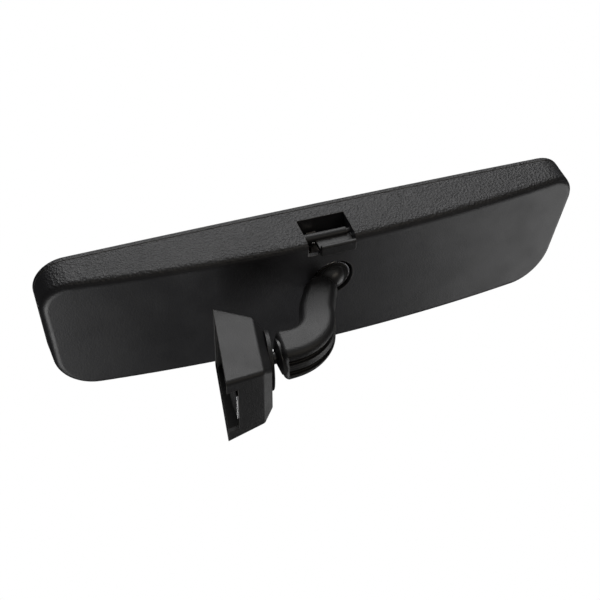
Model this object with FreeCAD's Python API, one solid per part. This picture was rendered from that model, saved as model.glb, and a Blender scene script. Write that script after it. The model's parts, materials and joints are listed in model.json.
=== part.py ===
"""Interior rearview mirror: glass head, elbow arm with two ball joints, windshield foot.

Millimetres, +Z up as in use. The origin is the middle of the foot's seat on the glass button.
+X runs along the mirror head, +Y points forward through the windshield side.
"""
import FreeCAD, Part

import math
import os

V = FreeCAD.Vector

# ---------------------------------------------------------------- driving dimensions
# head, measured in the head's own frame: x along, y from the glass to the back, z up
HEAD_HALF_LOWER = 124.2      # half length at the lower (lever) edge
HEAD_HALF_UPPER = 116.6      # half length at the upper edge
HEAD_DOWN = 32.3             # glass centre to the lower edge
HEAD_UP = 31.9               # glass centre to the upper edge
HEAD_DEPTH = 23.6            # front plane to the back, at the middle
BACK_CROWN = 9.6             # how much shallower the back is at the ends
LOWER_BOW = 1.0              # outward bow of the lower edge
LOWER_CORNER_R = 13.6
UPPER_CORNER_R = 19.5
LOWER_DRAFT = 0.9            # lean of the lower wall over the full depth
UPPER_DRAFT = 2.7            # lean of the upper wall over the full depth
BACK_EDGE_R = 3.4
CASE_WALL = 2.0
WEB_SHY = 0.8                # inner webs stay this far under the outer faces
BEZEL_RIM = 2.2              # depth of the bezel seen from the side
SEAM_GAP = 0.25              # groove between bezel and housing
BEZEL_LIP = 1.4              # how far the bezel reaches over the glass
BEZEL_FRONT = 1.2            # thickness of the lip in front of the glass
BEZEL_WALL = 1.4             # skirt that plugs into the housing
BEZEL_SKIRT = 3.6            # depth of that skirt behind the seam
BEZEL_EDGE_R = 0.6
BEZEL_FIT = 0.05             # skirt to the housing
BEZEL_POCKET_GAP = 0.3       # skirt to the lever pocket's walls
GLASS_THIN = 2.2             # prism glass at the lower edge
GLASS_THICK = 5.6            # prism glass at the upper edge
GLASS_GAP = 0.15             # glass edge to the skirt
PAD_THICK = 0.6
BACKING_THICK = 1.4

# ball joints
BALL_R = 5.75
BALL_FIT = 0.10              # radial clearance of each spherical fit
SHELL_WALL = 0.9             # liner and pressure cup
STUD_R = 2.6                 # neck next to the ball
STUD_STEP = 0.6              # neck between the ball and its root
STUD_FLARE = 0.6             # the root is this much larger
STUD_ROOT = 3.0
HEAD_BALL_X = 1.2            # head ball in the head's frame
HEAD_BALL_Z = -10.4
HEAD_BALL_DEPTH = 1.6        # below the back face
HEAD_MOUTH = 78.0            # half angle of the head socket's mouth, degrees
FOOT_MOUTH = 62.0
LINER_END = 102.0            # polar angle where the liner ends
CUP_START = 124.0            # polar angle where the pressure cup starts
BACK_HOLE_R = 9.6
SOCKET_NECK_R = 7.7          # part of the head socket that stands in the back hole
SOCKET_BODY_R = 9.6
SOCKET_FLANGE_R = 13.0
SOCKET_FLANGE = 1.8
SOCKET_FLOOR = 1.2           # material under the spring well
SOCKET_BACK_GAP = 0.7        # socket's rim below the back face
SOCKET_CONE = 1.6            # height of the step down to the neck
RING_WALL = 0.5
RING_LENGTH = 4.8
RING_DROP = 1.0              # ring's rim below the back face
SPRING_R = 4.4
SPRING_HOLE_R = 2.0
SPRING_GAP = 0.2             # spring to its well
SPRING_WALL = 0.5
SPRING_STACK = 1.9           # room for the foot's two disc springs
SCREW_R = 1.1
SCREW_HEAD_R = 2.1
SCREW_HEAD = 0.9
SCREW_HEAD_GAP = 0.1         # screw head to the socket's wall
SOCKET_SCREW_ANGLES = (90, 210, 330)
ARM_BALL_GAP = 1.2           # arm cover to the head ball

# day and night flip
BRACKET_SHEET = 1.25
BRACKET_FRONT = 9.8          # front face of the bracket sheet
BRACKET_HALF = 27.0
BRACKET_LOW = -20.5
BRACKET_CORNER_R = 4.0
BRACKET_OVER_PIVOT = 1.5     # sheet above and ears behind the pivot rod
PIVOT_Y = 12.5
PIVOT_Z = 24.5
PIVOT_R = 1.5
PIN_FIT = 0.06
EAR_WALL = 2.4
EAR_DOWN = 4.0
EAR_GAP = 0.6
LUG_WALL = 5.0
PIVOT_ROD_SHORT = 0.5        # rod's end inside the lug
PIVOT_CHAMFER = 0.4
LUG_R = 4.0
LEVER_Y = 16.3
LEVER_Z = -29.3
LEVER_HUB_R = 2.0
LEVER_PIN_R = 1.2
CRANK_REACH = 5.1
CRANK_PIN_R = 1.2
CRANK_FIT = 0.16
CRANK_REST = 25.0            # crank lean from upright, degrees
CRANK_HALF = 2.2             # half width of the crank web
CRANK_WEB_R = 1.7
CRANK_PIN_LONG = 5.0         # crank pin beyond the web
FORK_LONG = 4.2
FORK_SIDE_GAP = 0.4          # fork to the crank web
FORK_WALL = 1.3
FORK_BELOW = 0.6             # prongs past the crank pin
FORK_ABOVE = 0.9             # crank pin to the fork's bridge
POCKET_LEFT = -11.2
POCKET_RIGHT = 10.2
POCKET_FRONT = 8.4
POCKET_TOP = -26.2
CHEEK_WALL = 1.8
CHEEK_OVER_LEVER = 6.5       # cheeks above the lever's axis
POCKET_WALL_TOP = -23.7      # front wall of the pocket ends here
PADDLE_LEFT = -5.9
PADDLE_RIGHT = 9.6
PADDLE_PROUD = 1.8           # paddle beyond the back face
PADDLE_SHEET = 2.2
PADDLE_RIDGE_R = 0.9
PADDLE_IN = 0.8              # ridge above the case's lower edge
PADDLE_WEB = 1.5
WEB_UP = 0.9                 # web's middle above the lever's axis
HUB_SHORT = 1.9              # hub ends this far from the pocket's right cheek
LEVER_SIDE_GAP = 0.4
TOGGLE_SHEET = 0.4
TOGGLE_GAP = 0.25            # leaf to the hub
TOGGLE_FORWARD = 3.5         # leaf in front of the lever's axis
TOGGLE_BACK_GAP = 0.3
BUMPER_R = 3.0
BUMPER_GAP = 0.1
BUMPER_IN = 3.0              # bumper's edge to the bracket's end
BUMPER_UP = 4.0              # bumper's middle above the bracket's lower edge

# foot, in its own frame: x along the button channel, z away from the windshield
FOOT_LONG = 45.4
FOOT_WIDE = 32.4
FOOT_SHOULDER = 15.4
FOOT_HEIGHT = 19.2
SHOULDER_IN_LONG = 5.8
SHOULDER_IN_WIDE = 1.9
TOP_IN_LONG = 10.2
TOP_IN_WIDE = 5.8
FOOT_CORNER_R = 1.8
FOOT_EDGE_R = 2.0
FOOT_WALL = 2.0
FOOT_ROOF_SHARE = 0.3        # inner shoulder sits this share of the wall lower
FOOT_SEAT_IN = 0.3           # the metal base stays off the windshield by this much
BUTTON_WIDE = 21.0           # channel for the button bonded to the windshield
BUTTON_HIGH = 4.6
BUTTON_STOP = 15.0           # closed end of the channel
CLIP_WIDE = 12.0
CLIP_SHEET = 0.5
CLIP_BOW = 1.3
FOOT_BALL_X = 5.0
FOOT_BALL_Z = 17.0
FOOT_SOCKET_R = 9.6
FOOT_SCREW_SHORT = 2.0       # screws end this far below the foot ball's middle
MOUTH_GAP = 0.15             # collar's bore to the socket's mouth
COLLAR_EDGE_R = 0.5
COLLAR_R = 12.4
COLLAR = 1.9

# arm, in its own frame: origin at the foot ball, z along the base, x towards the head
ARM_START = 7.8              # cover begins
ARM_ELBOW = 24.5             # first bend
ARM_TURN = 75.0              # lean of the middle stretch, degrees
ARM_RISE = 20.0              # length of the middle stretch
ARM_REACH_Z = 42.0           # head ball in the arm's frame
ARM_REACH_X = 38.3
ARM_TIP_ASIDE = 3.2          # the cover's line passes this far beside the head ball
STUD_AIM = 12.0              # the head stud meets the cover's line this far along it
ELBOW_R = 15.0               # centre line radius of the elbow
SHOULDER_R = 14.0            # centre line radius of the upper bend
ARM_COVER_STOP = 5.0         # where the cover's sections stop, short of the head ball
COVER_SECTIONS = 12
COVER_SHARE = 0.6            # share of the cover's length where its taper changes
COVER_FLOOR = 2.8            # thickness of the cover's end wall at the foot
ARM_END_ROUND = 2.8
ARM_DOME_R = 7.4             # domed end by the head
ARM_DOME_UP = 10.2           # its centre, from the head ball
ARM_BASE_DEEP = 16.0         # cover section in the bend's plane
ARM_BASE_WIDE = 17.2
ARM_TOP_DEEP = 14.8
ARM_TOP_WIDE = 13.8
ARM_END_DEEP = 13.0
ARM_END_WIDE = 12.2
ARM_CORNER_R = 3.6
ARM_WALL = 1.8
ARM_CORE_R = 2.6
ARM_HEAD_GAP = 2.6           # cover's end to the head's back
CONE_R = 7.6                 # foot stud where it meets the cover
CONE_IN = 1.5                # stud inside the cover
CONE_OUT = 0.3               # stud at its full radius before the cover begins
SLOT_WIDE = 3.0
SLOT_RIB = 2.9
SLOT_DEEP = 1.5
SLOT_START = 2.0             # first bit of the cover without slots
SLOT_PAST_ELBOW = 12.4       # where the slots end on the middle stretch

# how the joints stand at rest, degrees
FOOT_YAW, FOOT_PITCH, FOOT_ROLL = 12.0, 3.1, -6.1
ARM_YAW, ARM_PITCH, ARM_ROLL = 4.5, 6.0, -2.6


# ---------------------------------------------------------------- frames
UPRIGHT = FreeCAD.Rotation(V(0, -1, 0), V(0, 0, -1), V(1, 0, 0), "XYZ")


def tool_frame(origin, yaw, pitch, roll):
    turn = FreeCAD.Rotation(yaw, pitch, roll)
    return FreeCAD.Placement(origin, turn.multiply(UPRIGHT))


FOOT_FRAME = tool_frame(V(0, 0, 0), FOOT_YAW, FOOT_PITCH, FOOT_ROLL)
FOOT_BALL = FOOT_FRAME.multVec(V(FOOT_BALL_X, 0, FOOT_BALL_Z))
ARM_FRAME = tool_frame(FOOT_BALL, ARM_YAW, ARM_PITCH, ARM_ROLL)
HEAD_BALL = ARM_FRAME.multVec(V(ARM_REACH_X, 0, ARM_REACH_Z))
HEAD_BALL_Y = HEAD_DEPTH - HEAD_BALL_DEPTH
HEAD_ORIGIN = HEAD_BALL - V(HEAD_BALL_X, HEAD_BALL_Y, HEAD_BALL_Z)
HEAD_FRAME = FreeCAD.Placement(HEAD_ORIGIN, FreeCAD.Rotation())
# socket frame inside the head's frame: z out of the back, x along the head
HEAD_SOCKET_FRAME = FreeCAD.Placement(
    V(HEAD_BALL_X, HEAD_BALL_Y, HEAD_BALL_Z),
    FreeCAD.Rotation(V(1, 0, 0), V(0, 0, -1), V(0, 1, 0), "XYZ"),
)
FOOT_SOCKET_FRAME = FreeCAD.Placement(V(FOOT_BALL_X, 0, FOOT_BALL_Z), FreeCAD.Rotation())

LINER_IN = BALL_R + BALL_FIT
LINER_OUT = LINER_IN + SHELL_WALL
SEAT_R = LINER_OUT + BALL_FIT
BASE_TOP = FOOT_BALL_Z - SEAT_R - SPRING_STACK - SOCKET_FLOOR

# tool sizes: cutters reach past what they cut by OVER, points closer than TINY are one point
OVER = 10.0
TINY = 0.02
FAR = 200.0

PIECES = {}


def keep(name, shape, frame):
    placed = shape.copy()
    placed.Placement = frame.multiply(placed.Placement)
    PIECES[name] = placed


# ---------------------------------------------------------------- small helpers
def box(x0, x1, y0, y1, z0, z1):
    return Part.makeBox(x1 - x0, y1 - y0, z1 - z0, V(x0, y0, z0))


def rod(radius, start, end):
    along = end - start
    return Part.makeCylinder(radius, along.Length, start, along)


def revolve(points):
    """Solid of revolution about z from (radius, height) points."""
    corners = [V(r, 0, z) for r, z in points]
    face = Part.Face(Part.makePolygon(corners + corners[:1]))
    return face.revolve(V(0, 0, 0), V(0, 0, 1), 360)


def shell_zone(inner, outer, start, end):
    """Part of a spherical shell between two polar angles from +z, with flat cone ends."""
    ball = Part.makeSphere(outer).cut(Part.makeSphere(inner))
    far = 3 * outer
    a, b = math.radians(start), math.radians(end)
    corners = [(0, 0), (far * math.sin(a), far * math.cos(a))]
    if start < 90 < end:
        corners.append((far, 0))
    if end < 180:
        corners.append((far * math.sin(b), far * math.cos(b)))
    else:
        corners.append((far, -far))
        corners.append((0, -far))
    return ball.common(revolve(corners))


def crown_radius(drop, half):
    return (half * half + drop * drop) / (2 * drop)


def slab_under_crown(depth, inset):
    """Everything in front of the crowned back, which is an arc along the head's length."""
    radius = crown_radius(BACK_CROWN, HEAD_HALF_LOWER) - inset
    top = depth - inset
    middle = V(0, top - radius, 0)
    half = HEAD_HALF_LOWER + OVER
    lift = math.sqrt(radius * radius - half * half)
    left = V(-half, middle.y + lift, 0)
    right = V(half, middle.y + lift, 0)
    arc = Part.Arc(left, V(0, top, 0), right).toShape()
    sides = Part.makePolygon([right, V(half, -OVER, 0), V(-half, -OVER, 0), left])
    face = Part.Face(Part.Wire([arc] + sides.Edges))
    solid = face.extrude(V(0, 0, HEAD_DOWN + HEAD_UP + 2 * OVER))
    solid.translate(V(0, 0, -HEAD_DOWN - OVER))
    return solid


def head_outline(inset, y):
    """Four-sided outline of the head at depth y, with the bowed lower edge."""
    lean = y / HEAD_DEPTH
    low = -HEAD_DOWN + inset + LOWER_DRAFT * lean
    high = HEAD_UP - inset - UPPER_DRAFT * lean
    lower = HEAD_HALF_LOWER - inset
    upper = HEAD_HALF_UPPER - inset
    a, b = V(-lower, y, low), V(lower, y, low)
    c, d = V(upper, y, high), V(-upper, y, high)
    bow = Part.Arc(a, V(0, y, low - LOWER_BOW), b).toShape()
    sides = Part.makePolygon([b, c, d, a])
    return Part.Wire([bow] + sides.Edges)


def head_block(inset, y0, y1, straight=False):
    """Block between two depths, its four long corners rounded; the walls lean unless straight."""
    if straight:
        outline = head_outline(inset, 0)
        outline.translate(V(0, y0, 0))
        solid = Part.Face(outline).extrude(V(0, y1 - y0, 0))
    else:
        solid = Part.makeLoft([head_outline(inset, y0), head_outline(inset, y1)], True, True)
    lower_r = LOWER_CORNER_R - inset
    upper_r = UPPER_CORNER_R - inset
    corners = []
    for edge in solid.Edges:
        ends = [v.Point for v in edge.Vertexes]
        if len(ends) == 2 and abs(ends[0].y - ends[1].y) > (y1 - y0) / 2:
            corners.append(edge)
    low = [e for e in corners if e.CenterOfMass.z < 0]
    high = [e for e in corners if e.CenterOfMass.z > 0]
    return solid.makeFillet(lower_r, low).makeFillet(upper_r, high)


# ---------------------------------------------------------------- ball joint pieces
def ball_stud(length, flare_at, flare_r):
    """Ball with a neck along +z that widens into a cone."""
    profile = revolve([(0, 0), (STUD_R, 0), (STUD_R, BALL_R + STUD_STEP / 2), (flare_r, flare_at),
                       (flare_r, length), (0, length)])
    return Part.makeSphere(BALL_R).fuse(profile).removeSplitter()


def pressure_cup():
    return shell_zone(LINER_IN, LINER_OUT, CUP_START, 180)


def socket_liner(mouth):
    return shell_zone(LINER_IN, LINER_OUT, mouth, LINER_END)


def disc_springs(floor):
    """Two cupped spring washers stacked mouth to mouth under the pressure cup."""
    top = -LINER_OUT - BALL_FIT
    middle = (floor + top) / 2
    half = (top - floor) / 2 - SPRING_WALL
    inner = SPRING_HOLE_R
    low = revolve([(inner, floor), (SPRING_R, floor + half), (SPRING_R, middle),
                   (inner, floor + SPRING_WALL)])
    high = revolve([(SPRING_R, middle), (SPRING_R, middle + SPRING_WALL),
                    (inner, top), (inner, top - SPRING_WALL)])
    return Part.makeCompound([low, high])


def socket_cavity(mouth, floor):
    """Room for the ball, its shells and the springs, open through a conical mouth."""
    room = Part.makeSphere(SEAT_R)
    a = math.radians(mouth)
    far = 4 * SEAT_R
    cone = revolve([(0, 0), (far * math.sin(a), far * math.cos(a)), (0, far)])
    well = rod(SPRING_R + SPRING_GAP, V(0, 0, floor), V(0, 0, -BALL_R / 2))
    return room.fuse(cone).fuse(well)


# ---------------------------------------------------------------- head
def build_head():
    seam = BEZEL_RIM + SEAM_GAP
    beyond = HEAD_DEPTH + CASE_WALL
    outer = head_block(0, seam, beyond).common(slab_under_crown(HEAD_DEPTH, 0))
    rim = []
    for edge in outer.Edges:
        if min(v.Y for v in edge.Vertexes) > 2 * seam:
            rim.append(edge)
    outer = outer.makeFillet(BACK_EDGE_R, rim)
    inner = head_block(CASE_WALL, seam - BEZEL_RIM, beyond)
    inner = inner.common(slab_under_crown(HEAD_DEPTH, CASE_WALL))
    shell = outer.cut(inner)
    back_in = HEAD_DEPTH - CASE_WALL

    hole = rod(BACK_HOLE_R, V(HEAD_BALL_X, back_in - CASE_WALL, HEAD_BALL_Z),
               V(HEAD_BALL_X, beyond, HEAD_BALL_Z))
    pocket = box(POCKET_LEFT, POCKET_RIGHT, POCKET_FRONT, beyond, -HEAD_DOWN - OVER, POCKET_TOP)

    # cheeks and front wall of the lever pocket, pivot lugs of the bracket
    cheek_top = LEVER_Z + CHEEK_OVER_LEVER
    cheek_low = -HEAD_DOWN + CASE_WALL / 4
    additions = []
    for x0, x1 in ((POCKET_LEFT - CHEEK_WALL, POCKET_LEFT), (POCKET_RIGHT, POCKET_RIGHT + CHEEK_WALL)):
        additions.append(box(x0, x1, POCKET_FRONT - CHEEK_WALL, HEAD_DEPTH, cheek_low, cheek_top))
    additions.append(box(POCKET_LEFT - CHEEK_WALL, POCKET_RIGHT + CHEEK_WALL,
                         POCKET_FRONT - CHEEK_WALL, POCKET_FRONT, cheek_low, POCKET_WALL_TOP))
    lug_x = BRACKET_HALF + EAR_GAP
    for side in (-1, 1):
        x0, x1 = sorted((side * lug_x, side * (lug_x + LUG_WALL)))
        lug = rod(LUG_R, V(x0, PIVOT_Y, PIVOT_Z), V(x1, PIVOT_Y, PIVOT_Z))
        web = box(x0, x1, PIVOT_Y, HEAD_DEPTH, PIVOT_Z - LUG_R, PIVOT_Z + LUG_R)
        additions.append(lug.fuse(web))
    inside_outer = outer.common(box(-FAR, FAR, 0, HEAD_DEPTH - WEB_SHY, -HEAD_DOWN + WEB_SHY, HEAD_UP))
    for piece in additions:
        shell = shell.fuse(piece.common(inside_outer))
    shell = shell.cut(hole).cut(pocket)
    lug_end = lug_x + LUG_WALL
    pin_room = rod(PIVOT_R + PIN_FIT, V(-lug_end, PIVOT_Y, PIVOT_Z), V(lug_end, PIVOT_Y, PIVOT_Z))
    lever_hole = rod(LEVER_PIN_R, V(POCKET_LEFT - CHEEK_WALL, LEVER_Y, LEVER_Z),
                     V(POCKET_RIGHT + CHEEK_WALL, LEVER_Y, LEVER_Z))
    shell = shell.cut(pin_room).cut(lever_hole).removeSplitter()
    keep("rear_housing", shell, HEAD_FRAME)

    rim_solid = head_block(0, 0, BEZEL_RIM, True)
    front_edges = [e for e in rim_solid.Edges if max(v.Y for v in e.Vertexes) < TINY]
    rim_solid = rim_solid.makeFillet(BEZEL_EDGE_R, front_edges)
    plug_inset = CASE_WALL + UPPER_DRAFT * (seam + BEZEL_SKIRT) / HEAD_DEPTH + BEZEL_FIT
    plug = head_block(plug_inset, BEZEL_RIM / 2, seam + BEZEL_SKIRT, True)
    room = head_block(plug_inset + BEZEL_WALL, BEZEL_FRONT, 2 * (seam + BEZEL_SKIRT), True)
    window = head_block(plug_inset + BEZEL_WALL + BEZEL_LIP, -BEZEL_FRONT, 2 * BEZEL_FRONT, True)
    clear = CHEEK_WALL + BEZEL_POCKET_GAP
    pocket_room = box(POCKET_LEFT - clear, POCKET_RIGHT + clear, POCKET_FRONT - clear, HEAD_DEPTH,
                      -HEAD_DOWN - OVER, 0)
    bezel = rim_solid.fuse(plug).cut(room).cut(window).cut(pocket_room).removeSplitter()
    keep("front_bezel", bezel, HEAD_FRAME)

    build_glass(plug_inset + BEZEL_WALL + GLASS_GAP)


def glass_back(z, extra):
    """Depth of the prism glass's back at height z, plus an extra thickness."""
    slope = (GLASS_THICK - GLASS_THIN) / (HEAD_UP + HEAD_DOWN)
    return BEZEL_FRONT + GLASS_THIN + slope * (z + HEAD_DOWN) + extra


def build_glass(inset):
    """Prism glass, foam pad and backing plate: layers cut on the prism's slope."""
    low, high = -HEAD_DOWN - OVER, HEAD_UP + OVER
    length = 2 * (HEAD_HALF_LOWER + OVER)
    rear_of_plate = PAD_THICK + BACKING_THICK
    blank = head_block(inset, BEZEL_FRONT, BEZEL_FRONT + 2 * GLASS_THICK, True)
    stack = (("mirror_glass", -2 * GLASS_THICK, 0), ("glass_pad", 0, PAD_THICK),
             ("backing_plate", PAD_THICK, rear_of_plate))
    for name, first, last in stack:
        corners = [V(0, glass_back(low, first), low), V(0, glass_back(high, first), high),
                   V(0, glass_back(high, last), high), V(0, glass_back(low, last), low)]
        wedge = Part.Face(Part.makePolygon(corners + corners[:1])).extrude(V(length, 0, 0))
        wedge.translate(V(-length / 2, 0, 0))
        keep(name, wedge.common(blank), HEAD_FRAME)


def build_bumpers():
    """Two rubber pads on the backing plate that the bracket rests against."""
    z = BRACKET_LOW + BUMPER_UP
    pads = []
    for side in (-1, 1):
        x = side * (BRACKET_HALF - BUMPER_R - BUMPER_IN)
        pad = rod(BUMPER_R, V(x, 0, z), V(x, BRACKET_FRONT - BUMPER_GAP, z))
        low, high = z - 2 * BUMPER_R, z + 2 * BUMPER_R
        left = x - 2 * BUMPER_R
        behind = PAD_THICK + BACKING_THICK
        corners = [V(left, glass_back(low, behind), low), V(left, glass_back(high, behind), high),
                   V(left, BRACKET_FRONT, high), V(left, BRACKET_FRONT, low)]
        room = Part.Face(Part.makePolygon(corners + corners[:1])).extrude(V(4 * BUMPER_R, 0, 0))
        pads.append(pad.common(room))
    keep("bumper_pads", Part.makeCompound(pads), HEAD_FRAME)


# ---------------------------------------------------------------- bracket and head socket
def crank_pin_centre():
    lean = math.radians(CRANK_REST)
    return V(0, LEVER_Y - CRANK_REACH * math.sin(lean), LEVER_Z + CRANK_REACH * math.cos(lean))


def build_bracket():
    rear = BRACKET_FRONT + BRACKET_SHEET
    top = PIVOT_Z + PIVOT_R + BRACKET_OVER_PIVOT
    sheet = box(-BRACKET_HALF, BRACKET_HALF, BRACKET_FRONT, rear, BRACKET_LOW, top)
    ends = [e for e in sheet.Edges if abs(e.Vertexes[0].Y - e.Vertexes[-1].Y) > BRACKET_SHEET / 2]
    sheet = sheet.makeFillet(BRACKET_CORNER_R, [e for e in ends if e.CenterOfMass.z < 0])
    ear_back = PIVOT_Y + PIVOT_R + BRACKET_OVER_PIVOT
    for side in (-1, 1):
        x0, x1 = sorted((side * BRACKET_HALF, side * (BRACKET_HALF - EAR_WALL)))
        sheet = sheet.fuse(box(x0, x1, BRACKET_FRONT, ear_back, PIVOT_Z - EAR_DOWN, top))

    # fork round the crank pin, beside the crank's web, hanging from the sheet's lower edge
    pin = crank_pin_centre()
    half_slot = CRANK_PIN_R + CRANK_FIT
    back = pin.y + half_slot + FORK_WALL
    x1 = -CRANK_HALF - FORK_SIDE_GAP
    x0 = x1 - FORK_LONG
    low = pin.z - CRANK_PIN_R - FORK_BELOW
    fork = box(x0, x1, BRACKET_FRONT, back, low, BRACKET_LOW)
    fork = fork.fuse(box(x0, x1, BRACKET_FRONT, rear, low, BRACKET_LOW + FORK_WALL))
    slot = box(x0, x1, pin.y - half_slot, pin.y + half_slot, low, pin.z + CRANK_PIN_R + FORK_ABOVE)
    sheet = sheet.fuse(fork.cut(slot))
    pin_hole = rod(PIVOT_R, V(-BRACKET_HALF, PIVOT_Y, PIVOT_Z), V(BRACKET_HALF, PIVOT_Y, PIVOT_Z))
    sheet = sheet.cut(pin_hole)
    for x, z in socket_screw_places():
        sheet = sheet.cut(rod(SCREW_R, V(x, 0, z), V(x, HEAD_DEPTH, z)))
    keep("pivot_bracket", sheet.removeSplitter(), HEAD_FRAME)

    reach = BRACKET_HALF + EAR_GAP + LUG_WALL - PIVOT_ROD_SHORT
    pivot = rod(PIVOT_R, V(-reach, PIVOT_Y, PIVOT_Z), V(reach, PIVOT_Y, PIVOT_Z))
    rims = [e for e in pivot.Edges if e.Closed]
    keep("pivot_rod", pivot.makeChamfer(PIVOT_CHAMFER, rims), HEAD_FRAME)


def socket_screw_places():
    """Screws of the socket's flange, on its bolt circle."""
    circle = (SOCKET_BODY_R + SOCKET_FLANGE_R) / 2
    places = []
    for angle in SOCKET_SCREW_ANGLES:
        a = math.radians(angle)
        places.append((HEAD_BALL_X + circle * math.cos(a), HEAD_BALL_Z + circle * math.sin(a)))
    return places


def build_head_socket():
    floor_out = BRACKET_FRONT + BRACKET_SHEET - HEAD_BALL_Y
    step = HEAD_DEPTH - RING_DROP - RING_LENGTH - HEAD_BALL_Y
    rim = HEAD_DEPTH - SOCKET_BACK_GAP - HEAD_BALL_Y
    ring_top = HEAD_DEPTH - RING_DROP - HEAD_BALL_Y
    body = revolve([
        (0, floor_out), (SOCKET_FLANGE_R, floor_out), (SOCKET_FLANGE_R, floor_out + SOCKET_FLANGE),
        (SOCKET_BODY_R, floor_out + SOCKET_FLANGE), (SOCKET_BODY_R, step - SOCKET_CONE),
        (SOCKET_NECK_R + RING_WALL, step), (SOCKET_NECK_R, step), (SOCKET_NECK_R, rim), (0, rim)])
    floor = floor_out + SOCKET_FLOOR
    body = body.cut(socket_cavity(HEAD_MOUTH, floor))
    # a flat on the flange, level with the bracket's lower edge, clears the lever's crank
    flat_y = HEAD_BALL_Z - BRACKET_LOW
    body = body.cut(box(-SOCKET_FLANGE_R, SOCKET_FLANGE_R, flat_y, 2 * SOCKET_FLANGE_R, floor_out, rim))
    frame = HEAD_FRAME.multiply(HEAD_SOCKET_FRAME)
    screws = []
    flange_top = floor_out + SOCKET_FLANGE
    for x, z in socket_screw_places():
        across, up = x - HEAD_BALL_X, HEAD_BALL_Z - z
        low = V(across, up, floor_out - BRACKET_SHEET)
        seat = V(across, up, flange_top)
        head_top = V(across, up, flange_top + SCREW_HEAD)
        screws.append(rod(SCREW_R, low, seat).fuse(rod(SCREW_HEAD_R, seat, head_top)))
        body = body.cut(rod(SCREW_R, low, seat))
        body = body.cut(rod(SCREW_HEAD_R + SCREW_HEAD_GAP, seat, V(across, up, rim)))
    keep("head_socket", body, frame)
    keep("socket_screws", Part.makeCompound(screws), frame)
    ring = rod(SOCKET_NECK_R + RING_WALL, V(0, 0, step), V(0, 0, ring_top))
    keep("retaining_ring", ring.cut(rod(SOCKET_NECK_R, V(0, 0, step), V(0, 0, ring_top))), frame)
    keep("head_disc_springs", disc_springs(floor), frame)
    keep("head_pressure_cup", pressure_cup(), frame)
    keep("head_socket_liner", socket_liner(HEAD_MOUTH), frame)


# ---------------------------------------------------------------- day and night lever
def build_lever():
    hub0 = POCKET_LEFT + LEVER_SIDE_GAP
    hub1 = POCKET_RIGHT - HUB_SHORT
    hub = rod(LEVER_HUB_R, V(hub0, LEVER_Y, LEVER_Z), V(hub1, LEVER_Y, LEVER_Z))
    # a thin web joins the hub to the paddle, which stands behind the back face
    low = -HEAD_DOWN + PADDLE_IN
    outer = HEAD_DEPTH + PADDLE_PROUD
    inner = outer - PADDLE_SHEET
    top = POCKET_TOP - LEVER_SIDE_GAP
    web_low = LEVER_Z + WEB_UP - PADDLE_WEB / 2
    web_high = web_low + PADDLE_WEB
    corners = [V(0, LEVER_Y, web_low), V(0, inner, web_low), V(0, inner, low), V(0, outer, low),
               V(0, outer, top), V(0, inner, top), V(0, inner, web_high), V(0, LEVER_Y, web_high)]
    paddle = Part.Face(Part.makePolygon(corners + corners[:1]))
    paddle = paddle.extrude(V(PADDLE_RIGHT - PADDLE_LEFT, 0, 0))
    ridge = [e for e in paddle.Edges if e.BoundBox.ZMax < low + TINY]
    ridge = [e for e in ridge if e.BoundBox.YLength < TINY]
    paddle = paddle.makeFillet(PADDLE_RIDGE_R, ridge)
    paddle.translate(V(PADDLE_LEFT, 0, 0))

    pin = crank_pin_centre()
    axis = V(0, LEVER_Y, LEVER_Z)
    across = (pin - axis).normalize().cross(V(1, 0, 0)) * CRANK_WEB_R
    corners = [axis + across, pin + across, pin - across, axis - across]
    arm = Part.Face(Part.makePolygon(corners + corners[:1])).extrude(V(2 * CRANK_HALF, 0, 0))
    arm.translate(V(-CRANK_HALF, 0, 0))
    knuckle = rod(CRANK_WEB_R, V(-CRANK_HALF, pin.y, pin.z), V(CRANK_HALF, pin.y, pin.z))
    crank = rod(CRANK_PIN_R, V(-CRANK_HALF - CRANK_PIN_LONG, pin.y, pin.z), V(0, pin.y, pin.z))
    lever = hub.fuse([paddle, arm, knuckle, crank])
    through = rod(LEVER_PIN_R + PIN_FIT, V(POCKET_LEFT, LEVER_Y, LEVER_Z), V(POCKET_RIGHT, LEVER_Y, LEVER_Z))
    keep("day_night_lever", lever.cut(through).removeSplitter(), HEAD_FRAME)

    pin_rod = rod(LEVER_PIN_R, V(POCKET_LEFT - CHEEK_WALL, LEVER_Y, LEVER_Z),
                  V(POCKET_RIGHT + CHEEK_WALL, LEVER_Y, LEVER_Z))
    keep("lever_pin", pin_rod, HEAD_FRAME)

    # leaf that bears on the hub, held between the cheek and the back wall
    z = LEVER_Z + LEVER_HUB_R + TOGGLE_GAP
    back = HEAD_DEPTH - CASE_WALL - TOGGLE_BACK_GAP
    leaf = box(CRANK_HALF + CRANK_PIN_R, POCKET_RIGHT, LEVER_Y - TOGGLE_FORWARD, back, z, z + TOGGLE_SHEET)
    keep("toggle_spring", leaf, HEAD_FRAME)


# ---------------------------------------------------------------- arm
def arm_route(lift=0.0):
    """Corner points of the arm's centre line, in the arm's frame."""
    a = math.radians(ARM_TURN)
    bend = V(0, 0, ARM_ELBOW)
    shoulder = bend + V(math.sin(a), 0, math.cos(a)) * ARM_RISE
    return [V(0, 0, lift), bend, shoulder, V(ARM_REACH_X, 0, ARM_REACH_Z - ARM_TIP_ASIDE)]


def arc_at(before, corner, after, radius):
    """Tangent arc between two straight runs, with its end points."""
    u = (before - corner).normalize()
    w = (after - corner).normalize()
    half = math.acos(max(-1.0, min(1.0, u.dot(w)))) / 2
    trim = radius / math.tan(half)
    p, q = corner + u * trim, corner + w * trim
    centre = corner + (u + w).normalize() * (radius / math.sin(half))
    middle = centre + (corner - centre).normalize() * radius
    return p, middle, q


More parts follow.
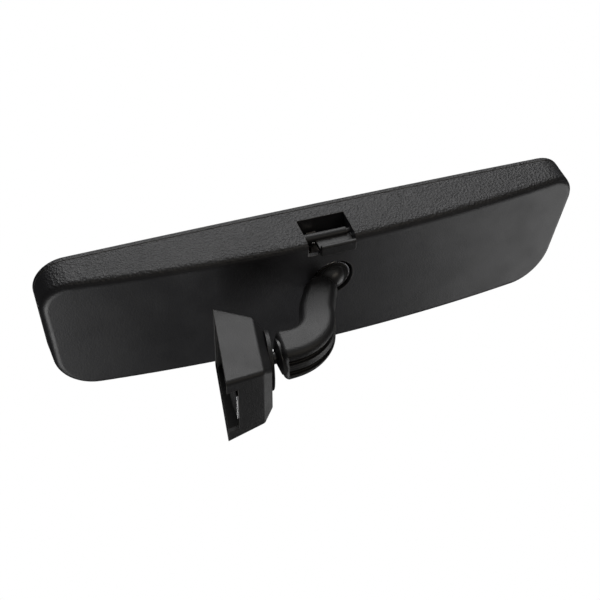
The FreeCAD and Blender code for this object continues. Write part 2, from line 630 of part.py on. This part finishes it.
def arm_path(start, elbow_r, neck_r, stop):
    """Centre line as one wire: straight, elbow, straight, shoulder, straight."""
    foot, bend, shoulder, tip = arm_route(start)
    p0, m0, q0 = arc_at(foot, bend, shoulder, elbow_r)
    p1, m1, q1 = arc_at(bend, shoulder, tip, neck_r)
    end = tip + (shoulder - tip).normalize() * stop
    edges = [Part.LineSegment(foot, p0).toShape(), Part.Arc(p0, m0, q0).toShape(),
             Part.LineSegment(q0, p1).toShape(), Part.Arc(p1, m1, q1).toShape(),
             Part.LineSegment(q1, end).toShape()]
    return Part.Wire(edges)


def point_along(path, distance):
    """Point and direction at a distance from the start of a wire."""
    edges = path.OrderedEdges
    while len(edges) > 1 and distance > edges[0].Length:
        distance -= edges[0].Length
        edges = edges[1:]
    edge = edges[0]
    spot = edge.getParameterByLength(min(distance, edge.Length))
    return edge.valueAt(spot), edge.tangentAt(spot).normalize()


def rounded_section(deep, wide, radius, spot, along):
    """Rounded rectangle across the arm: deep in the bend's plane, wide across it."""
    side = V(0, 1, 0).cross(along).normalize()
    up = V(0, 1, 0)
    a, b = deep / 2, wide / 2
    k = math.sqrt(0.5)

    def at(x, y):
        return spot + side * x + up * y

    edges = []
    signs = ((1, 1), (-1, 1), (-1, -1), (1, -1))
    rounds = []
    for sx, sy in signs:
        cx, cy = sx * (a - radius), sy * (b - radius)
        flat_x = at(sx * a, cy)
        flat_y = at(cx, sy * b)
        mid = at(cx + sx * k * radius, cy + sy * k * radius)
        first, last = (flat_x, flat_y) if sx == sy else (flat_y, flat_x)
        rounds.append((first, mid, last))
    for i in range(4):
        first, mid, last = rounds[i]
        edges.append(Part.Arc(first, mid, last).toShape())
        edges.append(Part.LineSegment(last, rounds[(i + 1) % 4][0]).toShape())
    return Part.Wire(edges)


def cover_blank(inset, shorten):
    """Smooth tapering elbow, lofted through sections along the arm's centre line."""
    path = arm_path(0, ELBOW_R, SHOULDER_R, ARM_COVER_STOP)
    total = path.Length
    start = ARM_START + shorten
    stop = total - shorten
    sections = []
    for i in range(COVER_SECTIONS + 1):
        s = start + (stop - start) * i / COVER_SECTIONS
        spot, along = point_along(path, s)
        share = (s - ARM_START) / (total - ARM_START)
        if share < COVER_SHARE:
            blend = share / COVER_SHARE
            deep = ARM_BASE_DEEP + (ARM_TOP_DEEP - ARM_BASE_DEEP) * blend
            wide = ARM_BASE_WIDE + (ARM_TOP_WIDE - ARM_BASE_WIDE) * blend
        else:
            blend = (share - COVER_SHARE) / (1 - COVER_SHARE)
            deep = ARM_TOP_DEEP + (ARM_END_DEEP - ARM_TOP_DEEP) * blend
            wide = ARM_TOP_WIDE + (ARM_END_WIDE - ARM_TOP_WIDE) * blend
        corner = ARM_CORNER_R - inset
        sections.append(rounded_section(deep - 2 * inset, wide - 2 * inset, corner, spot, along))
    return Part.makeLoft(sections, True, False)


def core_solid():
    """Bent steel core of the arm."""
    path = arm_path(ARM_START, ELBOW_R, SHOULDER_R, BALL_R + STUD_STEP + STUD_ROOT / 2)
    start = path.Edges[0].Vertexes[0].Point
    ring = Part.Wire(Part.makeCircle(ARM_CORE_R, start, V(0, 0, 1)))
    return Part.Wire(path.Edges).makePipeShell([ring], True, False)


def base_trim():
    """What has to go to round the cover's rim next to the foot."""
    start = V(0, 0, ARM_START)
    wire = rounded_section(ARM_BASE_DEEP, ARM_BASE_WIDE, ARM_CORNER_R, start, V(0, 0, 1))
    block = Part.Face(wire).extrude(V(0, 0, 2 * ARM_END_ROUND))
    rim = [e for e in block.Edges if e.BoundBox.ZMax < ARM_START + TINY]
    top = ARM_START + ARM_END_ROUND
    return box(-FAR, FAR, -FAR, FAR, ARM_START - OVER, top).cut(block.makeFillet(ARM_END_ROUND, rim))


def build_arm():
    outer = cover_blank(0, 0)
    # the end by the head is cut parallel to the head's back
    to_head = ARM_FRAME.inverse()
    plane_point = HEAD_FRAME.multVec(V(0, HEAD_DEPTH + ARM_HEAD_GAP, 0))
    cutter = Part.makeBox(2 * FAR, FAR, 2 * FAR, plane_point - V(FAR, FAR, FAR))
    cutter.Placement = to_head.multiply(cutter.Placement)
    outer = outer.cut(cutter)
    outer = outer.cut(base_trim()).common(tip_dome())
    hollow = cover_blank(ARM_WALL, COVER_FLOOR)
    guard = Part.makeBox(2 * FAR, FAR, 2 * FAR, plane_point - V(FAR, FAR - ARM_WALL, FAR))
    guard.Placement = to_head.multiply(guard.Placement)
    hollow = hollow.cut(guard)
    cover = outer.cut(hollow).cut(core_solid())
    stud = ball_stud(ARM_START + CONE_IN, ARM_START - CONE_OUT, CONE_R)
    cover = cover.cut(stud)
    ball_room = Part.makeSphere(BALL_R + ARM_BALL_GAP, V(ARM_REACH_X, 0, ARM_REACH_Z))
    cover = cover.cut(ball_room).cut(head_stud_local())

    # two slots round the outside of the elbow
    slot_floor = cover_blank(SLOT_DEEP, 0)
    a = math.radians(ARM_TURN)
    reach = ARM_BASE_DEEP
    z0 = ARM_START + SLOT_START
    along = V(math.sin(a), 0, math.cos(a))
    knee = V(0, 0, ARM_ELBOW) + along * SLOT_PAST_ELBOW
    over_knee = knee + V(-along.z * reach, 0, along.x * reach)
    outside = [V(0, 0, z0), V(0, 0, ARM_ELBOW - ELBOW_R / 2), V(ELBOW_R / 4, 0, ARM_ELBOW), knee,
               over_knee, V(-reach, 0, ARM_ELBOW + reach), V(-reach, 0, z0)]
    fan = Part.Face(Part.makePolygon(outside + outside[:1]))
    for y in (SLOT_RIB / 2, -SLOT_RIB / 2 - SLOT_WIDE):
        slab = fan.extrude(V(0, SLOT_WIDE, 0))
        slab.translate(V(0, y, 0))
        cover = cover.cut(slab.cut(slot_floor))
    for name, y0, y1 in (("arm_cover_lower", 0, FAR), ("arm_cover_upper", -FAR, 0)):
        half = cover.common(box(-FAR, FAR, y0, y1, -FAR, FAR))
        keep(name, half, ARM_FRAME)

    keep("arm_core", core_solid().cut(stud).cut(head_stud_local()), ARM_FRAME)
    keep("foot_ball_stud", stud, ARM_FRAME)
    keep("head_ball_stud", head_stud_local(), ARM_FRAME)


def stud_axis():
    """Head ball's centre and the direction from it into the arm, in the arm's frame."""
    foot, bend, shoulder, tip = arm_route()
    ball = V(ARM_REACH_X, 0, ARM_REACH_Z)
    aim = tip + (shoulder - tip).normalize() * STUD_AIM
    return ball, (aim - ball).normalize()


def tip_dome():
    """A ball that rounds the cover's end, with all the room on the arm's side of its centre."""
    foot, bend, shoulder, tip = arm_route()
    away = (shoulder - tip).normalize()
    centre = tip + away * ARM_DOME_UP
    reach = ARM_REACH_X + ARM_REACH_Z
    return Part.makeSphere(ARM_DOME_R, centre).fuse(Part.makeCylinder(reach, reach, centre, away))


def head_stud_local():
    """Head ball and its neck, in the arm's frame."""
    ball, away = stud_axis()
    stud = Part.makeSphere(BALL_R)
    stud = stud.fuse(rod(STUD_R, V(0, 0, 0), V(0, 0, BALL_R + STUD_STEP)))
    root = rod(STUD_R + STUD_FLARE, V(0, 0, BALL_R + STUD_STEP), V(0, 0, BALL_R + STUD_STEP + STUD_ROOT))
    stud = stud.fuse(root).removeSplitter()
    stud.Placement = FreeCAD.Placement(ball, FreeCAD.Rotation(V(0, 0, 1), away))
    return stud


# ---------------------------------------------------------------- foot
def foot_outline(in_long, in_wide, z):
    a, b = FOOT_LONG / 2 - in_long, FOOT_WIDE / 2 - in_wide
    r = FOOT_CORNER_R
    flat = Part.Face(Part.makePolygon([V(-a, -b, z), V(a, -b, z), V(a, b, z), V(-a, b, z), V(-a, -b, z)]))
    solid = flat.extrude(V(0, 0, 1))
    uprights = [e for e in solid.Edges if abs(e.tangentAt(e.FirstParameter).z) > 0.99]
    solid = solid.makeFillet(r, uprights)
    base = [f for f in solid.Faces if abs(f.CenterOfMass.z - z) < 1e-6][0]
    return base.OuterWire


def foot_block(inset, top):
    """Two stacked tapers of the foot, shrunk by a wall and closed at a height."""
    low = foot_outline(inset, inset, 0)
    shoulder = FOOT_SHOULDER - inset * FOOT_ROOF_SHARE
    middle = foot_outline(SHOULDER_IN_LONG + inset, SHOULDER_IN_WIDE + inset, shoulder)
    high = foot_outline(TOP_IN_LONG + inset, TOP_IN_WIDE + inset, top)
    lower = Part.makeLoft([low, middle], True, True)
    upper = Part.makeLoft([middle, high], True, True)
    return lower.fuse(upper).removeSplitter()


def build_foot():
    outer = foot_block(0, FOOT_HEIGHT)
    soft = []
    for edge in outer.Edges:
        zs = [v.Z for v in edge.Vertexes]
        if min(zs) > FOOT_SHOULDER - TINY and max(zs) - min(zs) < TINY:
            soft.append(edge)
    outer = outer.makeFillet(FOOT_EDGE_R, soft)
    inner = foot_block(FOOT_WALL, FOOT_HEIGHT - FOOT_WALL)
    window = box(-FOOT_LONG, -FOOT_LONG / 2 + SHOULDER_IN_LONG, -BUTTON_WIDE / 2, BUTTON_WIDE / 2,
                 0, BUTTON_HIGH)
    socket_hole = rod(FOOT_SOCKET_R, V(FOOT_BALL_X, 0, BASE_TOP), V(FOOT_BALL_X, 0, FOOT_HEIGHT))
    cover = outer.cut(inner).cut(window).cut(socket_hole)
    keep("foot_cover", cover, FOOT_FRAME)

    channel = box(-FOOT_LONG, BUTTON_STOP, -BUTTON_WIDE / 2, BUTTON_WIDE / 2, 0, BUTTON_HIGH)
    base = inner.common(box(-FAR, FAR, -FAR, FAR, FOOT_SEAT_IN, BASE_TOP)).cut(channel)
    screw_reach = (SEAT_R + FOOT_SOCKET_R) / 2
    places = [(FOOT_BALL_X, side * screw_reach) for side in (-1, 1)]
    screw_top = FOOT_BALL_Z - FOOT_SCREW_SHORT
    screws = []
    for x, y in places:
        seat = V(x, y, BUTTON_HIGH + SCREW_HEAD)
        shank = rod(SCREW_R, seat, V(x, y, screw_top))
        head = rod(SCREW_HEAD_R, V(x, y, BUTTON_HIGH), seat)
        screws.append(shank.fuse(head))
        base = base.cut(shank).cut(head)
    clip_x0, clip_x1 = -FOOT_LONG / 2 + SHOULDER_IN_LONG / 2, BUTTON_STOP
    middle_x = (clip_x0 + clip_x1) / 2

    def bowed(z):
        return Part.Arc(V(clip_x0, 0, z), V(middle_x, 0, z - CLIP_BOW), V(clip_x1, 0, z)).toShape()

    low = bowed(BUTTON_HIGH - CLIP_SHEET)
    high = bowed(BUTTON_HIGH)
    closing = [Part.LineSegment(V(x, 0, BUTTON_HIGH - CLIP_SHEET), V(x, 0, BUTTON_HIGH)).toShape()
               for x in (clip_x0, clip_x1)]
    clip = Part.Face(Part.Wire([low, closing[1], high, closing[0]])).extrude(V(0, CLIP_WIDE, 0))
    clip.translate(V(0, -CLIP_WIDE / 2, 0))
    keep("spring_clip", clip, FOOT_FRAME)
    keep("foot_base", base.removeSplitter(), FOOT_FRAME)

    top = FOOT_HEIGHT - FOOT_BALL_Z
    low_z = BASE_TOP - FOOT_BALL_Z
    barrel = rod(FOOT_SOCKET_R, V(0, 0, low_z), V(0, 0, top))
    floor = low_z + SOCKET_FLOOR
    barrel = barrel.cut(socket_cavity(FOOT_MOUTH, floor))
    for x, y in places:
        barrel = barrel.cut(rod(SCREW_R, V(0, y, low_z), V(0, y, screw_top - FOOT_BALL_Z)))
    frame = FOOT_FRAME.multiply(FOOT_SOCKET_FRAME)
    keep("foot_socket", barrel, frame)
    keep("foot_screws", Part.makeCompound(screws), FOOT_FRAME)
    mouth_r = SEAT_R * math.sin(math.acos(top / SEAT_R)) + MOUTH_GAP
    collar = rod(COLLAR_R, V(0, 0, top), V(0, 0, top + COLLAR))
    rims = [e for e in collar.Edges if e.Closed and e.CenterOfMass.z > top + COLLAR / 2]
    collar = collar.makeFillet(COLLAR_EDGE_R, rims).cut(rod(mouth_r, V(0, 0, top), V(0, 0, top + COLLAR)))
    keep("foot_collar", collar, frame)
    keep("foot_disc_springs", disc_springs(floor), frame)
    keep("foot_pressure_cup", pressure_cup(), frame)
    keep("foot_socket_liner", socket_liner(FOOT_MOUTH), frame)


build_foot()
build_arm()
build_head()
build_bumpers()
build_bracket()
build_head_socket()
build_lever()

os.makedirs("parts", exist_ok=True)
for name, shape in PIECES.items():
    shape.exportStep("parts/" + name + ".step")
    print(name, len(shape.Solids), round(shape.Volume, 1), "valid" if shape.isValid() else "INVALID")
print("foot ball", FOOT_BALL, "head ball", HEAD_BALL, "head origin", HEAD_ORIGIN)
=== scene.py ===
"""Interior rearview mirror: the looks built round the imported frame, in metres."""
import json

import bmesh
import bpy
from mathutils import Matrix, Vector


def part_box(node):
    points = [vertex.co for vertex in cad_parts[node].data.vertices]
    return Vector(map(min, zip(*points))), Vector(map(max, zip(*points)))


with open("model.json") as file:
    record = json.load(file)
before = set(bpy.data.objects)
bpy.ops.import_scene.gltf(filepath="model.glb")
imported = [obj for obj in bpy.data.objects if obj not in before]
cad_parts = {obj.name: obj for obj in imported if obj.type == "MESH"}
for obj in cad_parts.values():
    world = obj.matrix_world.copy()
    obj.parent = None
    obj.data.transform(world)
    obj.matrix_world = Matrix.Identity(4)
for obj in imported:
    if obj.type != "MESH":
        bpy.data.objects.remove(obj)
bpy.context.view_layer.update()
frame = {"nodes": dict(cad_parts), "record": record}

SCENE = bpy.context.scene

# ------------------------------------------------------------------ view and light
VIEW_RIGHT = Vector((0.928, 0.365, -0.074))     # camera axes in the row frame
VIEW_UP = Vector((0.214, -0.685, -0.696))
VIEW_BACK = Vector((-0.304, 0.630, -0.714))
CAMERA_FROM_GLASS = Vector((-0.1896, 0.3891, -0.4159))
LENS = 81.03
GLASS_BELOW_TOP = 0.0319        # glass centre below the case's upper edge
VIEW_SHIFT = 0.0005             # picture moved up by this much
SENSOR = 36.0                   # millimetres, as LENS
NEAR_CLIP = 0.01
FLOOR_Z = -0.95
FLOOR_HALF = 4.0
FLOOR_CELLS = 24
SKY_SEEN = 1.0                  # backdrop as the camera sees it
SKY_FILL = 0.03                 # what the backdrop adds to the light

# ------------------------------------------------------------------ texture sizes
# scales are cells per metre, depths and radii are metres
PLASTIC_EDGE_R = 0.00045
METAL_EDGE_R = 0.0002
EDGE_SAMPLES = 6
EDGE_FLAT, EDGE_SHARP = 0.985, 0.90      # agreement of the true and the rounded normal
CLOUD_SCALE = 38.0
SPECK_SCALE = 1500.0
PATCH_SCALE = 240.0
SHEEN_SCALE = 90.0
SHEEN_SPREAD = 0.04
FINE_PER_GRAIN = 1.9            # finer noise over the moulded grain
LEATHER_PER_GRAIN = 0.62        # coarser cells of the deep grain
CREASE_PER_GRAIN = 0.8
WALL_FROM, WALL_FULL = 0.55, 0.9         # how far a normal leans up or down
# colour of the dust specks, also the beige painted highlight on rubbed edges
DUST_AND_EDGE_HIGHLIGHT = (0.105, 0.097, 0.085)
PLASTIC_IOR = 1.48
# near-white that sharp metal edges are lightened towards: a painted highlight
PAINTED_EDGE_GLINT = (0.85, 0.84, 0.82)


def corner_middle(node):
    low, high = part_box(node)
    return (low + high) / 2


# ------------------------------------------------------------------ node helpers
class Graph:
    """Small wrapper that makes and links shader nodes."""

    def __init__(self, tree):
        self.tree = tree
        tree.nodes.clear()

    def node(self, kind, **settings):
        made = self.tree.nodes.new(kind)
        for key, value in settings.items():
            setattr(made, key, value)
        return made

    def link(self, source, target):
        self.tree.links.new(source, target)

    def noise(self, vector, scale, detail=3.0, roughness=0.55):
        made = self.node("ShaderNodeTexNoise")
        self.link(vector, made.inputs["Vector"])
        made.inputs["Scale"].default_value = scale
        made.inputs["Detail"].default_value = detail
        made.inputs["Roughness"].default_value = roughness
        return made.outputs["Fac"]

    def cells(self, vector, scale, feature="F1"):
        made = self.node("ShaderNodeTexVoronoi", feature=feature)
        self.link(vector, made.inputs["Vector"])
        made.inputs["Scale"].default_value = scale
        return made.outputs["Distance"]

    def ramp(self, factor, low, high, a=0.0, b=1.0):
        made = self.node("ShaderNodeMapRange")
        self.link(factor, made.inputs["Value"])
        made.inputs["From Min"].default_value = low
        made.inputs["From Max"].default_value = high
        made.inputs["To Min"].default_value = a
        made.inputs["To Max"].default_value = b
        return made.outputs["Result"]

    def math(self, operation, a, b):
        made = self.node("ShaderNodeMath", operation=operation)
        for socket, value in zip(made.inputs, (a, b)):
            if isinstance(value, float):
                socket.default_value = value
            else:
                self.link(value, socket)
        return made.outputs["Value"]

    def mix(self, factor, a, b):
        made = self.node("ShaderNodeMix", data_type="RGBA")
        self.link(factor, made.inputs["Factor"])
        for socket, value in ((made.inputs[6], a), (made.inputs[7], b)):
            if isinstance(value, tuple):
                socket.default_value = (*value, 1.0)
            else:
                self.link(value, socket)
        return made.outputs[2]

    def stretched(self, vector, stretch):
        made = self.node("ShaderNodeMapping")
        self.link(vector, made.inputs["Vector"])
        made.inputs["Scale"].default_value = stretch
        return made.outputs["Vector"]

    def bump(self, height, distance, strength=1.0, normal=None):
        made = self.node("ShaderNodeBump")
        made.inputs["Distance"].default_value = distance
        made.inputs["Strength"].default_value = strength
        self.link(height, made.inputs["Height"])
        if normal is not None:
            self.link(normal, made.inputs["Normal"])
        return made.outputs["Normal"]


def new_material(name):
    material = bpy.data.materials.new(name)
    material.use_nodes = True
    graph = Graph(material.node_tree)
    shader = graph.node("ShaderNodeBsdfPrincipled")
    output = graph.node("ShaderNodeOutputMaterial")
    graph.link(shader.outputs["BSDF"], output.inputs["Surface"])
    place = graph.node("ShaderNodeTexCoord").outputs["Object"]
    return material, graph, shader, place


def edge_mask(graph, radius):
    """1 on sharp outer edges, 0 on flats."""
    round_off = graph.node("ShaderNodeBevel", samples=EDGE_SAMPLES)
    round_off.inputs["Radius"].default_value = radius
    flat = graph.node("ShaderNodeNewGeometry").outputs["Normal"]
    dot = graph.node("ShaderNodeVectorMath", operation="DOT_PRODUCT")
    graph.link(round_off.outputs["Normal"], dot.inputs[0])
    graph.link(flat, dot.inputs[1])
    return graph.ramp(dot.outputs["Value"], EDGE_FLAT, EDGE_SHARP), round_off.outputs["Normal"]


def grained_plastic(name, dark, light, grain, depth, rough, gloss=0.5, wall_depth=None):
    """Black moulded plastic: spark-eroded grain, cloudy sheen, dusty specks, edges lightened beige as rub
    wear and painted highlight.

    wall_depth is the deeper grain of walls that face up or down in the piece's own frame.
    """
    material, graph, shader, place = new_material(name)
    edge, rounded = edge_mask(graph, PLASTIC_EDGE_R)
    cloud = graph.noise(place, CLOUD_SCALE, 4.0)
    speck = graph.ramp(graph.noise(place, SPECK_SCALE, 2.0), 0.66, 0.80)
    colour = graph.mix(graph.ramp(cloud, 0.3, 0.7), dark, light)
    colour = graph.mix(graph.math("MULTIPLY", speck, 0.35), colour, DUST_AND_EDGE_HIGHLIGHT)
    # sharp edges lighten beige in patches: rub wear and a painted highlight of the rounded edges
    patchy = graph.ramp(graph.noise(place, PATCH_SCALE, 3.0), 0.35, 0.65)
    rub_wear_and_painted_highlight = graph.math("MULTIPLY", edge, graph.math("MULTIPLY_ADD", patchy, 0.6))
    colour = graph.mix(graph.math("MULTIPLY", rub_wear_and_painted_highlight, 0.6), colour, DUST_AND_EDGE_HIGHLIGHT)
    graph.link(colour, shader.inputs["Base Color"])
    dull, shiny = rough + SHEEN_SPREAD, rough - SHEEN_SPREAD
    sheen = graph.ramp(graph.noise(place, SHEEN_SCALE, 5.0), 0.3, 0.7, shiny, dull)
    graph.link(sheen, shader.inputs["Roughness"])
    pits = graph.cells(place, grain)
    fine = graph.noise(place, grain * FINE_PER_GRAIN, 3.0, 0.7)
    normal = graph.bump(graph.math("ADD", pits, fine), depth, 1.0, rounded)
    if wall_depth is not None:
        apart = graph.node("ShaderNodeSeparateXYZ")
        graph.link(graph.node("ShaderNodeTexCoord").outputs["Normal"], apart.inputs["Vector"])
        wall = graph.ramp(graph.math("ABSOLUTE", apart.outputs["Z"], 0.0), WALL_FROM, WALL_FULL)
        pebbles = graph.cells(place, grain * LEATHER_PER_GRAIN)
        creases = graph.noise(place, grain * CREASE_PER_GRAIN, 4.0, 0.75)
        leather = graph.math("ADD", pebbles, creases)
        coarse = graph.bump(graph.math("MULTIPLY", leather, wall), wall_depth, 1.0, normal)
        graph.link(coarse, shader.inputs["Normal"])
    else:
        graph.link(normal, shader.inputs["Normal"])
    shader.inputs["IOR"].default_value = PLASTIC_IOR
    shader.inputs["Specular IOR Level"].default_value = gloss
    return material


def acetal(name, base, shade, waxy):
    """Smooth moulded plastic of balls and shells, with faint turning marks."""
    material, graph, shader, place = new_material(name)
    cloud = graph.ramp(graph.noise(place, 160.0, 4.0), 0.3, 0.7)
    graph.link(graph.mix(cloud, base, shade), shader.inputs["Base Color"])
    graph.link(graph.ramp(graph.noise(place, 420.0, 4.0), 0.3, 0.7, 0.26, 0.42), shader.inputs["Roughness"])
    marks = graph.noise(graph.stretched(place, (400.0, 3200.0, 3200.0)), 1.0, 2.0)
    graph.link(graph.bump(marks, 0.00002, 0.6), shader.inputs["Normal"])
    shader.inputs["Subsurface Weight"].default_value = waxy
    shader.inputs["Subsurface Scale"].default_value = 0.002
    return material


def metal(name, base, tint, stretch, low, high, scratch):
    """Bare or plated steel with grain along one way, cloudy plating and a painted highlight on sharp edges.
    """
    material, graph, shader, place = new_material(name)
    edge, rounded = edge_mask(graph, METAL_EDGE_R)
    cloud = graph.ramp(graph.noise(place, 130.0, 4.0), 0.3, 0.7)
    colour = graph.mix(cloud, base, tint)
    # sharp edges lightened towards near-white: painted highlight
    colour = graph.mix(graph.math("MULTIPLY", edge, 0.5), colour, PAINTED_EDGE_GLINT)
    graph.link(colour, shader.inputs["Base Color"])
    lines = graph.noise(graph.stretched(place, stretch), 1.0, 4.0, 0.7)
    graph.link(graph.ramp(lines, 0.25, 0.75, low, high), shader.inputs["Roughness"])
    graph.link(graph.bump(lines, scratch, 0.8, rounded), shader.inputs["Normal"])
    shader.inputs["Metallic"].default_value = 1.0
    return material


def silvered_glass(name):
    """Mirror with a faint haze and wipe marks."""
    material, graph, shader, place = new_material(name)
    wipe = graph.noise(graph.stretched(place, (16.0, 60.0, 90.0)), 1.0, 5.0)
    patches = graph.ramp(graph.noise(place, 22.0), 0.4, 0.7)
    haze = graph.math("MULTIPLY", graph.ramp(wipe, 0.45, 0.8), patches)
    graph.link(graph.mix(haze, (0.88, 0.90, 0.915), (0.80, 0.82, 0.83)), shader.inputs["Base Color"])
    graph.link(graph.ramp(haze, 0.0, 1.0, 0.012, 0.11), shader.inputs["Roughness"])
    shader.inputs["Metallic"].default_value = 1.0
    shader.inputs["Coat Weight"].default_value = 0.6
    shader.inputs["Coat Roughness"].default_value = 0.02
    return material


def foam(name, dark, light, scale, depth, rough):
    """Open or closed cells, also used for rubber with a fine scale; the cell hollows are painted darker as
    shade.
    """
    material, graph, shader, place = new_material(name)
    cells = graph.cells(place, scale)
    # cell hollows darker than the cell walls, following the bump: painted shade
    graph.link(graph.mix(graph.ramp(cells, 0.1, 0.7), dark, light), shader.inputs["Base Color"])
    graph.link(graph.ramp(graph.noise(place, scale / 3), 0.3, 0.7, rough - 0.08, rough + 0.05),
               shader.inputs["Roughness"])
    graph.link(graph.bump(cells, depth, 0.9), shader.inputs["Normal"])
    return material


CASE = grained_plastic("case_plastic_grained", dark=(0.013, 0.013, 0.015), light=(0.021, 0.021, 0.023),
                       grain=1500.0, depth=0.00003, rough=0.42, wall_depth=0.00030)
TRIM = grained_plastic("trim_plastic_grained", dark=(0.010, 0.010, 0.011), light=(0.017, 0.017, 0.018),
                       grain=1900.0, depth=0.00005, rough=0.42, gloss=0.36)
# near-black, darker than its black coat: the coat's own colour plus painted shade of the deep socket
CAST_COAT_AND_SHADE = grained_plastic("coated_casting_painted_shade", dark=(0.004, 0.004, 0.004), light=(0.009, 0.009, 0.009),
                       grain=900.0, depth=0.00005, rough=0.6, gloss=0.2)
PALE = acetal("pale_acetal", base=(0.42, 0.42, 0.40), shade=(0.52, 0.52, 0.50), waxy=0.12)
DARK = acetal("dark_acetal", base=(0.020, 0.020, 0.021), shade=(0.034, 0.034, 0.035), waxy=0.0)
PLATED = metal("zinc_plated_steel", base=(0.52, 0.50, 0.46), tint=(0.62, 0.61, 0.60),
               stretch=(300.0, 2600.0, 2600.0), low=0.22, high=0.42, scratch=0.00001)
SPRING = metal("spring_steel_strip", base=(0.36, 0.36, 0.38), tint=(0.50, 0.50, 0.50),
               stretch=(2400.0, 260.0, 2400.0), low=0.20, high=0.36, scratch=0.00001)
MIRROR = silvered_glass("prism_mirror")
FOAM = foam("closed_cell_foam", dark=(0.03, 0.03, 0.03), light=(0.07, 0.07, 0.07),
            scale=1400.0, depth=0.0001, rough=0.85)
BOARD = foam("backing_sheet", dark=(0.05, 0.05, 0.05), light=(0.09, 0.09, 0.09),
             scale=420.0, depth=0.00003, rough=0.6)
RUBBER = foam("moulded_rubber", dark=(0.014, 0.014, 0.014), light=(0.028, 0.028, 0.028),
              scale=3000.0, depth=0.00002, rough=0.7)

SLOT_LOOK = {
    "case_plastic": CASE, "black_plastic": TRIM, "grey_acetal": PALE, "dark_acetal": DARK, "cast_zinc": CAST_COAT_AND_SHADE,
    "spring_steel": SPRING, "plated_steel": PLATED, "mirror_glass": MIRROR, "foam": FOAM,
    "backing_board": BOARD, "rubber": RUBBER,
}
NODE_SLOT = {s["node"]: s["material_slot"] for s in frame["record"]["subparts"]}

for name, obj in frame["nodes"].items():
    look = SLOT_LOOK[NODE_SLOT[name]]
    for place in obj.material_slots:
        place.material = look


# ------------------------------------------------------------------ stage, light, camera
def build_floor():
    """Pale studio floor with faint unevenness."""
    mesh = bpy.data.meshes.new("floor")
    grid = bmesh.new()
    bmesh.ops.create_grid(grid, x_segments=FLOOR_CELLS, y_segments=FLOOR_CELLS, size=FLOOR_HALF)
    grid.to_mesh(mesh)
    grid.free()
    floor = bpy.data.objects.new("floor", mesh)
    floor.location.z = FLOOR_Z
    SCENE.collection.objects.link(floor)
    material, graph, shader, place = new_material("studio_floor")
    graph.link(graph.mix(graph.noise(place, 3.0), (0.80, 0.80, 0.79), (0.86, 0.86, 0.85)),
               shader.inputs["Base Color"])
    shader.inputs["Roughness"].default_value = 0.8
    mesh.materials.append(material)


def build_world(sky, fill):
    world = bpy.data.worlds.new("studio")
    SCENE.world = world
    world.use_nodes = True
    graph = Graph(world.node_tree)
    seen = graph.node("ShaderNodeBackground")
    seen.inputs["Color"].default_value = (1.0, 1.0, 1.0, 1.0)
    seen.inputs["Strength"].default_value = sky
    lit = graph.node("ShaderNodeBackground")
    lit.inputs["Color"].default_value = (1.0, 1.0, 1.0, 1.0)
    lit.inputs["Strength"].default_value = fill
    path = graph.node("ShaderNodeLightPath")
    both = graph.node("ShaderNodeMixShader")
    graph.link(path.outputs["Is Camera Ray"], both.inputs["Fac"])
    graph.link(lit.outputs["Background"], both.inputs[1])
    graph.link(seen.outputs["Background"], both.inputs[2])
    output = graph.node("ShaderNodeOutputWorld")
    graph.link(both.outputs["Shader"], output.inputs["Surface"])


def softbox(name, direction, distance, width, height, power, tint=(1.0, 1.0, 1.0)):
    """Rectangular lamp that looks at the middle of the object and isn't seen itself."""
    lamp = bpy.data.lights.new(name, "AREA")
    lamp.shape = "RECTANGLE"
    lamp.size, lamp.size_y = width, height
    lamp.energy = power
    lamp.color = tint
    obj = bpy.data.objects.new(name, lamp)
    middle = corner_middle("rear_housing")
    along = direction.normalized()
    obj.location = middle + along * distance
    obj.rotation_euler = along.to_track_quat("Z", "Y").to_euler()
    obj.visible_camera = False
    SCENE.collection.objects.link(obj)


def place_camera():
    data = bpy.data.cameras.new("camera")
    data.lens = LENS
    data.sensor_width = SENSOR
    data.clip_start = NEAR_CLIP
    camera = bpy.data.objects.new("camera", data)
    low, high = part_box("front_bezel")
    middle = Vector(((low.x + high.x) / 2, low.y, high.z - GLASS_BELOW_TOP))
    spin = Matrix((VIEW_RIGHT, VIEW_UP, VIEW_BACK)).transposed().to_4x4()
    camera.matrix_world = Matrix.Translation(middle + CAMERA_FROM_GLASS - VIEW_UP * VIEW_SHIFT) @ spin
    SCENE.collection.objects.link(camera)
    SCENE.camera = camera


build_floor()
build_world(SKY_SEEN, SKY_FILL)
softbox("key_top", Vector((0.16, -0.70, -0.69)), distance=0.9, width=1.0, height=0.6, power=7.0)
softbox("right_glow", Vector((0.76, 0.36, 0.52)), distance=1.0, width=0.8, height=0.6, power=2.3)
softbox("left_glow", Vector((-0.52, 0.60, 0.62)), distance=1.0, width=0.45, height=0.5, power=3.8)
softbox("edge_warm", Vector((0.30, 0.66, -0.62)), distance=0.8, width=0.7, height=0.25, power=0.8,
        tint=(1.0, 0.90, 0.76))
softbox("front_view", Vector((0.3, -1.0, 0.5)), distance=1.1, width=0.9, height=0.9, power=5.0)
place_camera()
SCENE.view_settings.view_transform = "Standard"
